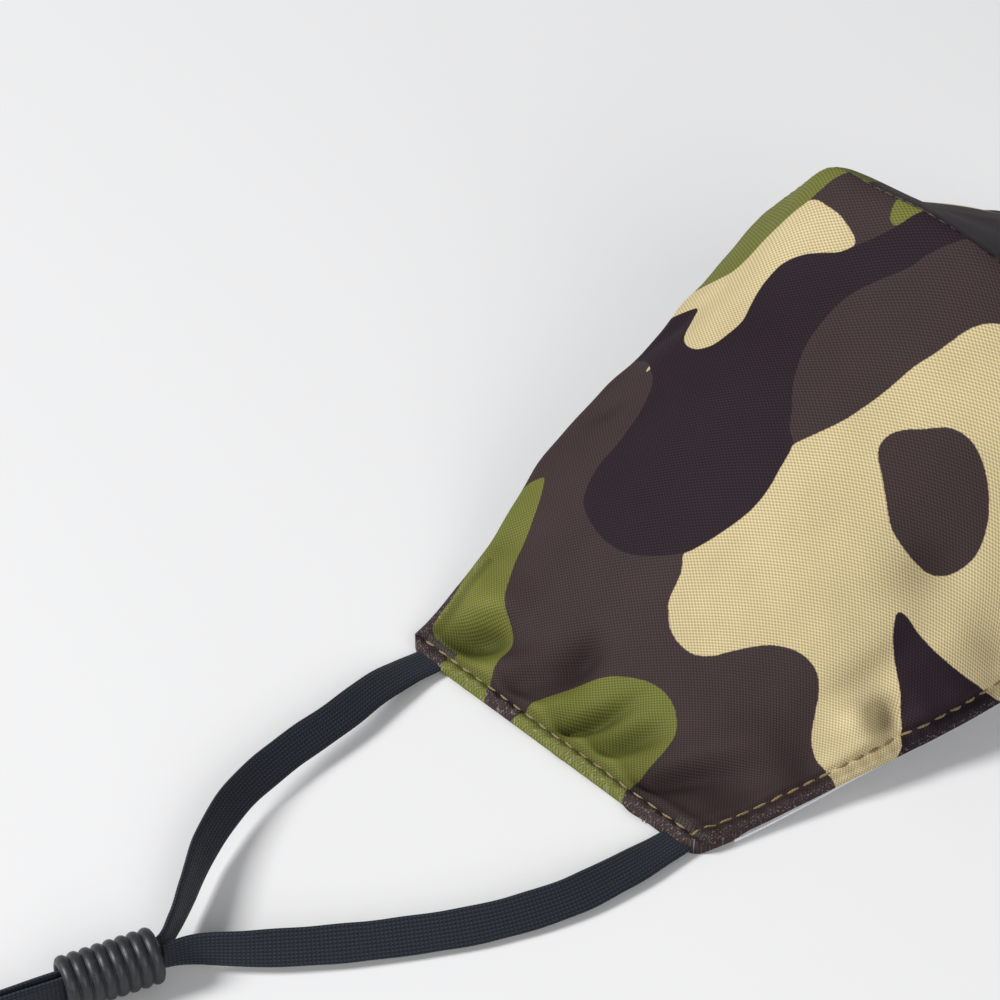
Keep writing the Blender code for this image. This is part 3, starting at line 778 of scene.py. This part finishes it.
def add_outer_panel(side, word):
    """The camouflage layer: turned in at the chin and the nose, rolled at the side hem."""
    s, t = panel_grid(RIM_S, S_CELLS, T_CELLS)
    fields = print_fields(s, t, side)
    wavy = waves(t * panel_length_t(s), np.zeros_like(s), 41 + side, 5, 4.5, 17.0)
    s, t = rounded_corners(s, t)
    s = s + 0.30 / CHIN_SPAN * wavy * smooth(s, 0.985, 1.0)
    chin, nose, rim = edge_distances(s, t)
    turned_in = (nose - 1.5 * smooth(s, 0.82, 0.90)) + 2.0 * (1.0 - smooth(s, 0.80, 0.84))
    fields["print_green"] = np.minimum(fields["print_green"], turned_in)
    sewn = np.where(s > 0.8, np.minimum(rim, nose), rim)
    fields["hem_distance"] = np.minimum(sewn, chin + 0.6)
    # The folds' heights, which also set the painted shade in the hollows and the painted highlight on the
    # crests.
    fields["fold"] = fold_height(s, t, side) * smooth(rim, 2.4, 6.0)
    free = np.minimum(chin, nose)
    drop = rounded_drop(free, EDGE_THICKNESS / 2)
    crease = 0.5 * rounded_drop(s * U_SPAN, 0.45)
    side_drop = rounded_drop(rim, HEM_HEIGHT / 2)
    near_hem = smooth(s, 0.93, 0.985)
    end_drop = rounded_drop(free, HEM_HEIGHT / 2) * near_hem
    top = cloth_point(s, t, side, drop * (1.0 - near_hem) + crease)
    top[..., 2] -= np.maximum(side_drop, end_drop)
    doubled = 1.0 - smooth(free, 4.5, 8.0)
    thick = CLOTH_THICKNESS + (EDGE_THICKNESS - CLOTH_THICKNESS) * doubled
    inside = cloth_point(s, t, side, thick - drop)
    folded = smooth(s, 0.9, 0.935)
    flat = np.maximum(side_drop, rounded_drop(free, 1.0))
    inside[..., 2] = inside[..., 2] * (1.0 - folded) + flat * folded
    inside[..., 2] = np.maximum(inside[..., 2], 0.0)
    panel = add_slab(f"camo_panel_{word}", side, top, inside, LOOKS["camo"], fields, panel_uv(s, t))
    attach(panel, "mask")
    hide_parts(f"outer_panel_{word}")


def add_lining(side, word):
    s, t = panel_grid(0.93, 90, 120, -0.002, 1.002)
    chin, nose, _ = edge_distances(s, t)
    free = np.clip(np.minimum(chin, nose) + 0.3, 0.0, None)
    drop = rounded_drop(free, 0.3)
    top = cloth_point(s, t, side, 1.75 + drop)
    bottom = cloth_point(s, t, side, 2.4 - drop)
    bottom[..., 2] = np.maximum(bottom[..., 2], 0.02)
    top[..., 2] = np.maximum(top[..., 2], 0.06)
    lining = add_slab(f"lining_cloth_{word}", side, top, bottom, LOOKS["lining"], None, panel_uv(s, t))
    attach(lining, "mask")
    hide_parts(f"lining_{word}")


def add_middle(side, word):
    s, t = panel_grid(0.89, 80, 90, 0.07, 0.87)
    top = cloth_point(s, t, side, 1.0)
    bottom = cloth_point(s, t, side, 1.4)
    middle = add_slab(f"felt_{word}", side, top, bottom, LOOKS["felt"], None, panel_uv(s, t))
    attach(middle, "mask")
    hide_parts(f"middle_layer_{word}")


def add_wire():
    s, t = np.meshgrid(np.linspace(0.45, 0.0, 50), np.linspace(0.878, 0.926, 9), indexing="ij")
    layers = []
    for depth in (0.98, 1.45):
        left = cloth_point(s, t, -1, depth)
        right = cloth_point(s, t, 1, depth)[-2::-1] * [-1, 1, 1]
        left[-1, :, 0] = 0.0
        layers.append(np.concatenate([left, right]))
    wire = add_slab("nose_strip", -1, layers[0], layers[1], LOOKS["wire"])
    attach(wire, "mask")
    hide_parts("nose_wire")


# ---------------------------------------------------------------- thread


def capsule(points, radius, sides=7):
    """A thread along the points, closed at both ends: points, faces and UVs."""
    points = np.asarray(points, float)
    tangents = np.gradient(points, axis=0)
    tangents /= np.linalg.norm(tangents, axis=1, keepdims=True)
    first = np.cross(tangents, (0.13, 0.21, 0.97))
    first /= np.linalg.norm(first, axis=1, keepdims=True)
    second = np.cross(tangents, first)
    angles = 2 * np.pi * np.arange(sides) / sides
    ring = np.cos(angles)[None, :, None] * first[:, None]
    ring = ring + np.sin(angles)[None, :, None] * second[:, None]
    along = np.linspace(0, 1, len(points))
    girth = radius * np.clip(np.sin(np.pi * np.clip(0.12 + 0.76 * along, 0, 1)), 0, 1) ** 0.6
    rings = points[:, None] + ring * girth[:, None, None]
    faces = []
    for i in range(len(points) - 1):
        for j in range(sides):
            k = (j + 1) % sides
            faces.append((i * sides + j, i * sides + k, (i + 1) * sides + k, (i + 1) * sides + j))
    count = len(points) * sides
    faces += [(j, count, (j + 1) % sides) for j in range(sides)]
    last = count - sides
    faces += [(last + (j + 1) % sides, count + 1, last + j) for j in range(sides)]
    vertices = np.concatenate([rings.reshape(-1, 3), points[:1], points[-1:]])
    length = running_length(points)
    uv = np.stack([np.tile(angles * radius, len(points)), np.repeat(length, sides)], -1)
    return vertices, faces, np.concatenate([uv, [[0, 0], [0, length[-1]]]])


def join_threads(name, side, runs, radius, look, sides=7):
    """One object of many short threads, made on the left and mirrored for the right."""
    vertices, faces, uvs, start = [], [], [], 0
    for run in runs:
        v, f, uv = capsule(run, radius, sides)
        f = [tuple(i + start for i in face) for face in f]
        if side > 0:
            f = [face[::-1] for face in f]
        vertices.append(v)
        uvs.append(uv)
        faces += f
        start += len(v)
    points = np.concatenate(vertices)
    if side > 0:
        points = points * [-1, 1, 1]
    return new_mesh(name, points, faces, look, None, np.concatenate(uvs))


def seam_route():
    """Panel places every 0.2 mm or so along the topstitch: down the side hem, then along the chin edge."""
    inset = HEM_STITCH_INSET - HEM_ROLL
    low = STITCH_INSET / HEM_SPAN
    places = []
    for t in np.linspace(1.0 - low / 2, low, 420):
        places.append((1.0 - inset / float(panel_length_s(t)), t))
    for s in np.linspace(1.0 - inset / CHIN_SPAN, 0.004, 700):
        places.append((s, STITCH_INSET / float(panel_length_t(s))))
    return np.array(places)


def stitch_runs(side):
    """Each stitch's line over the cloth, its ends sunk in, with a slightly uneven pitch and slant."""
    places = seam_route()
    surface = cloth_point(places[:, 0], places[:, 1], side, 0.0)
    normal = base_normal(places[:, 0], places[:, 1])
    length = running_length(surface)
    picks = np.random.default_rng(40 + side)
    runs = []
    start = 1.0
    while start + STITCH_LENGTH < length[-1] - 1.0:
        pitch = STITCH_PITCH * (0.94 + 0.12 * picks.random())
        along = start + np.linspace(0.0, STITCH_LENGTH, 9)
        lift = 0.30 * np.sin(np.pi * np.linspace(0.0, 1.0, 9)) ** 0.7 - 0.16
        centre = read_along(along, length, surface)
        out = read_along(along, length, normal)
        tangent = centre[-1] - centre[0]
        tangent /= np.linalg.norm(tangent)
        across = np.cross(out[4], tangent)
        slant = (picks.random() - 0.5) * 0.5
        aside = slant * np.linspace(-0.5, 0.5, 9) + 0.10 * (picks.random() - 0.5)
        runs.append(centre + out * lift[:, None] + across[None, :] * aside[:, None])
        start += pitch
    return runs


def loose_end():
    """The thread end that hangs from the left side hem."""
    start = cloth_point(np.array([0.985]), np.array([0.20]), -1, 0.2)[0]
    steps = np.linspace(0.0, 1.0, 14)
    y = 1.1 * np.sin(steps * 4.0) - 1.2 * steps
    z = 0.5 * np.sin(steps * 3.0) - 1.6 * steps
    return start + np.stack([-2.6 * steps, y, z], -1)


def add_topstitch(side, word):
    runs = stitch_runs(side)
    if side < 0:
        runs.append(loose_end())
    thread = join_threads(f"stitches_{word}", side, runs, STITCH_RADIUS, LOOKS["thread"])
    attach(thread, "mask")
    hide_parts(f"topstitch_{word}")


def add_bartacks(side, word):
    """Rows of close stitches where each end of the elastic enters the side hem."""
    for place, y in (("nose", UPPER_STRAND[0][1]), ("chin", LOWER_STRAND[-1][1])):
        t0 = (y - HEM_MIDDLE_Y + HEM_HALF_LENGTH) / HEM_SPAN
        runs = []
        for i in range(18):
            t = t0 + (i - 8.5) * 0.38 / HEM_SPAN
            s_from, s_to = (0.988, 0.973) if i % 2 else (0.986, 0.971)
            s = np.linspace(s_from, s_to, 9)
            slanted = t + np.linspace(-0.3, 0.3, 9) / HEM_SPAN
            normal = base_normal(s, slanted)
            lift = 0.17 * np.sin(np.pi * np.linspace(0, 1, 9)) ** 0.7 - 0.12
            runs.append(cloth_point(s, slanted, side, 0.0) + normal * lift[:, None])
        tack = join_threads(f"tack_{place}_{word}", side, runs, 0.17, LOOKS["dark_thread"], 6)
        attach(tack, "mask")
        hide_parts(f"bartack_{place}_{word}")


def add_seam_thread():
    """Short stitches down in the centre seam."""
    t = np.linspace(0.02, 0.98, 900)
    zero = np.zeros_like(t)
    left = cloth_point(zero, t, -1, 0.0)
    right = cloth_point(zero, t, 1, 0.0)
    middle = (left + right) / 2
    middle[:, 0] = 0.0
    normal = base_normal(zero, t) * [0, 1, 1]
    normal /= np.linalg.norm(normal, axis=1, keepdims=True)
    middle -= 0.20 * normal
    length = running_length(middle)
    runs = []
    for start in np.arange(0.5, length[-1] - 3.0, 2.6):
        along = start + np.linspace(0.0, 2.0, 7)
        lift = 0.12 * np.sin(np.pi * np.linspace(0.0, 1.0, 7)) - 0.05
        out = read_along(along, length, normal)
        runs.append(read_along(along, length, middle) + out * lift[:, None])
    thread = join_threads("seam_stitches", -1, runs, 0.14, LOOKS["dark_thread"], 6)
    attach(thread, "mask")
    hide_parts("centre_seam_thread")


# ---------------------------------------------------------------- ear loops

# The left elastic's route: x, y and z in mm, its turn about its own line in degrees, its width in mm.
UPPER_STRAND = (
    (-95.0, 33.5, 1.2, 0, 6.0),
    (-99.0, 33.5, 1.2, 0, 6.3),
    (-104.5, 33.5, 1.9, 6, 6.4),
    (-112.0, 32.5, 3.2, 18, 6.4),
    (-122.0, 30.5, 4.0, 28, 6.4),
    (-134.5, 29.0, 4.4, 38, 6.4),
    (-147.0, 26.1, 4.6, 50, 6.4),
    (-158.0, 20.5, 4.6, 62, 6.4),
    (-166.5, 14.1, 4.6, 74, 6.2),
    (-172.5, 9.7, 4.7, 84, 5.8),
)
LOWER_STRAND = (
    (-173.0, 3.1, 4.7, 76, 5.8),
    (-166.0, -2.4, 4.4, 60, 6.2),
    (-157.0, -8.5, 3.8, 48, 6.4),
    (-146.0, -15.1, 3.3, 44, 6.4),
    (-133.0, -21.9, 3.1, 42, 6.4),
    (-120.0, -26.3, 3.0, 38, 6.4),
    (-109.0, -27.5, 2.4, 22, 6.4),
    (-101.5, -27.5, 1.6, 6, 6.4),
    (-95.9, -27.5, 1.2, 0, 6.3),
    (-92.0, -27.5, 1.2, 0, 6.0),
)
ADJUSTER_MOUTH = (-178.2, 6.2)
ADJUSTER_HEADING = 164.0
ADJUSTER_AXIS_Z = 4.75
ADJUSTER_LENGTH = 16.0
ADJUSTER_RIBS = 8
STRAND_APART = 0.8
STRAND_WIDTH_INSIDE = 5.4
TAIL_STRAIGHT = 19.0
TAIL_LOOP = ((24.0, 2.6), (28.5, 5.2), (33.5, 5.8), (37.6, 3.2), (38.8, 0.0))
TAIL_HEIGHT = 3.6
BAND_THICKNESS = 1.15


def adjuster_frame():
    """The middle of the adjuster's mouth, the way it points, and the way across it."""
    angle = math.radians(ADJUSTER_HEADING)
    axis = np.array([math.cos(angle), math.sin(angle), 0.0])
    across = np.array([-axis[1], axis[0], 0.0])
    return np.array([*ADJUSTER_MOUTH, ADJUSTER_AXIS_Z]), axis, across


def elastic_knots():
    """The whole route: in by the upper strand, through the adjuster, round the end, and back."""
    mouth, axis, across = adjuster_frame()
    back = -across * STRAND_APART
    front = across * STRAND_APART
    stops = (0.0, ADJUSTER_LENGTH / 2, ADJUSTER_LENGTH, ADJUSTER_LENGTH + TAIL_STRAIGHT)
    going = [(*(mouth + axis * along + back), 90, STRAND_WIDTH_INSIDE) for along in stops]
    coming = [(*(mouth + axis * along + front), 90, STRAND_WIDTH_INSIDE) for along in stops[::-1]]
    loop = []
    for sign, places in ((-1, TAIL_LOOP), (1, TAIL_LOOP[-2::-1])):
        for along, aside in places:
            centre = mouth + axis * (ADJUSTER_LENGTH + along) + across * aside * sign
            loop.append((centre[0], centre[1], TAIL_HEIGHT, 90, 6.4))
    return np.array([*UPPER_STRAND, *going, *loop, *coming, *LOWER_STRAND])


def through(knots, steps):
    """A smooth line through the knots, from the first to the last."""
    padded = np.vstack([2 * knots[0] - knots[1], knots, 2 * knots[-1] - knots[-2]])
    found = []
    for i in range(1, len(padded) - 2):
        found += spline(*padded[i - 1 : i + 3], steps)
    found.append(knots[-1])
    return np.array(found)


def band_section(sides=36):
    """The band's softly ribbed outline: (across, thickness) in shares of half its width and thickness."""
    angles = 2 * np.pi * np.arange(sides) / sides
    across = np.sign(np.cos(angles)) * np.abs(np.cos(angles)) ** 0.55
    thick = np.sign(np.sin(angles)) * np.abs(np.sin(angles)) ** 0.75
    thick *= 1.0 - 0.10 * np.cos(across * np.pi * 5.0) ** 2
    return across, thick


def add_elastic(side, word):
    """One flat band from hem to hem, which bends where the loop folds."""
    route = through(elastic_knots(), 16)
    centres = route[:, :3]
    tangents = np.gradient(centres, axis=0)
    tangents /= np.linalg.norm(tangents, axis=1, keepdims=True)
    flat_side = np.cross(tangents, (0.0, 0.0, 1.0))
    flat_side /= np.linalg.norm(flat_side, axis=1, keepdims=True)
    upright = np.cross(flat_side, tangents)
    length = running_length(centres)
    turned = np.where(length < length[-1] / 2, 1.0, -1.0)
    roll = np.radians(route[:, 3]) * turned
    roll = np.where(route[:, 3] > 89.0, math.pi / 2, roll)
    roll = roll + 0.05 * np.sin(length / 9.0 + side) * np.sin(np.pi * length / length[-1]) ** 2
    wide = flat_side * np.cos(roll)[:, None] + upright * np.sin(roll)[:, None]
    thick = upright * np.cos(roll)[:, None] - flat_side * np.sin(roll)[:, None]
    across, height = band_section()
    half = route[:, 4] / 2 * (1.0 + 0.012 * np.sin(length / 1.7))
    rings = centres[:, None]
    rings = rings + wide[:, None] * (across[None, :] * half[:, None])[..., None]
    rings = rings + thick[:, None] * (height * BAND_THICKNESS / 2)[None, :, None]
    rows, sides = rings.shape[:2]
    index = np.arange(rows * sides).reshape(rows, sides)
    following = np.roll(index, -1, axis=1)
    faces = np.stack([index[:-1], following[:-1], following[1:], index[1:]], -1).reshape(-1, 4).tolist()
    faces += [tuple(index[0, ::-1]), tuple(index[-1])]
    points = rings.reshape(-1, 3)
    if side > 0:
        points = points * [-1, 1, 1]
        faces = [face[::-1] for face in faces]
    uv = np.stack([np.tile(across, rows) * 3.2, np.repeat(length, sides)], -1)
    band = new_mesh(f"ear_band_{word}", points, faces, LOOKS["elastic"], None, uv)
    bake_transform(band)
    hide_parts(f"ear_elastic_{word}")


def adjuster_profile():
    """The wall's outline as (along, radius), with rounded ribs."""
    pitch = ADJUSTER_LENGTH / ADJUSTER_RIBS
    steps = np.linspace(0.0, ADJUSTER_LENGTH, ADJUSTER_RIBS * 14 + 1)
    wave = np.abs(np.sin(np.pi * steps / pitch)) ** 0.55
    outside = np.stack([steps, 4.02 + 0.70 * wave], -1)
    end = [(ADJUSTER_LENGTH + 0.10, 3.85), (ADJUSTER_LENGTH + 0.10, 3.5), (ADJUSTER_LENGTH - 0.1, 3.32)]
    bore = [(ADJUSTER_LENGTH * 0.7, 3.3), (ADJUSTER_LENGTH * 0.3, 3.3)]
    front = [(0.1, 3.32), (-0.10, 3.5), (-0.10, 3.85)]
    return np.concatenate([outside, end, bore, front])


def add_adjuster(side, word):
    """The ribbed tube, turned about the doubled elastic."""
    mouth, axis, across = adjuster_frame()
    up = np.array([0.0, 0.0, 1.0])
    profile = adjuster_profile()
    sides = 72
    angles = 2 * np.pi * np.arange(sides) / sides
    outwards = np.cos(angles)[:, None] * across + np.sin(angles)[:, None] * up
    rings = mouth + profile[None, :, :1] * axis + profile[None, :, 1:] * outwards[:, None]
    count = len(profile)
    index = np.arange(sides * count).reshape(sides, count)
    around = np.roll(index, -1, axis=0)
    faces = np.stack([index, around, np.roll(around, -1, axis=1), np.roll(index, -1, axis=1)], -1)
    points, faces = to_side(rings.reshape(-1, 3), faces.reshape(-1, 4)[:, ::-1], side)
    tube = new_mesh(f"rubber_adjuster_{word}", points, faces, LOOKS["rubber"])
    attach(tube, f"{word}_adjuster")
    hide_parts(f"adjuster_{word}")


# ---------------------------------------------------------------- surroundings


def add_floor():
    size = 3.0
    corners = [(-size, -size, 0), (size, -size, 0), (size, size, 0), (-size, size, 0)]
    mesh = bpy.data.meshes.new("floor")
    mesh.from_pydata(corners, [], [(0, 1, 2, 3)])
    mesh.materials.append(shader("pale_floor", (0.81, 0.81, 0.815), 0.8, specular=0.1)[0])
    floor = bpy.data.objects.new("floor", mesh)
    floor.location.z = -0.00015
    bpy.context.scene.collection.objects.link(floor)


def area_light(name, place, size, power):
    """A square soft light that faces the left half of the mask."""
    target = Vector((-0.05, 0.0, 0.02))
    data = bpy.data.lights.new(name, "AREA")
    data.shape = "SQUARE"
    data.size = size
    data.energy = power
    lamp = bpy.data.objects.new(name, data)
    lamp.location = place
    lamp.rotation_euler = (target - Vector(place)).to_track_quat("-Z", "Y").to_euler()
    bpy.context.scene.collection.objects.link(lamp)


def add_light():
    world = bpy.data.worlds.new("studio")
    world.use_nodes = True
    background = world.node_tree.nodes["Background"]
    background.inputs["Color"].default_value = (0.97, 0.98, 1.0, 1.0)
    background.inputs["Strength"].default_value = 0.26
    bpy.context.scene.world = world
    area_light("key", (-1.75, 1.05, 1.5), 0.7, 64.0)
    area_light("fill", (-0.5, -1.3, 0.9), 0.9, 10.0)
    bpy.context.scene.view_settings.view_transform = "Standard"
    bpy.context.scene.view_settings.look = "None"


def build():
    for side, word in ((-1, "left"), (1, "right")):
        add_elastic(side, word)
    for side, word in ((-1, "left"), (1, "right")):
        add_lining(side, word)
        add_middle(side, word)
        add_outer_panel(side, word)
        add_topstitch(side, word)
        add_bartacks(side, word)
        add_adjuster(side, word)
    add_wire()
    add_seam_thread()
    add_floor()
    add_light()


build()
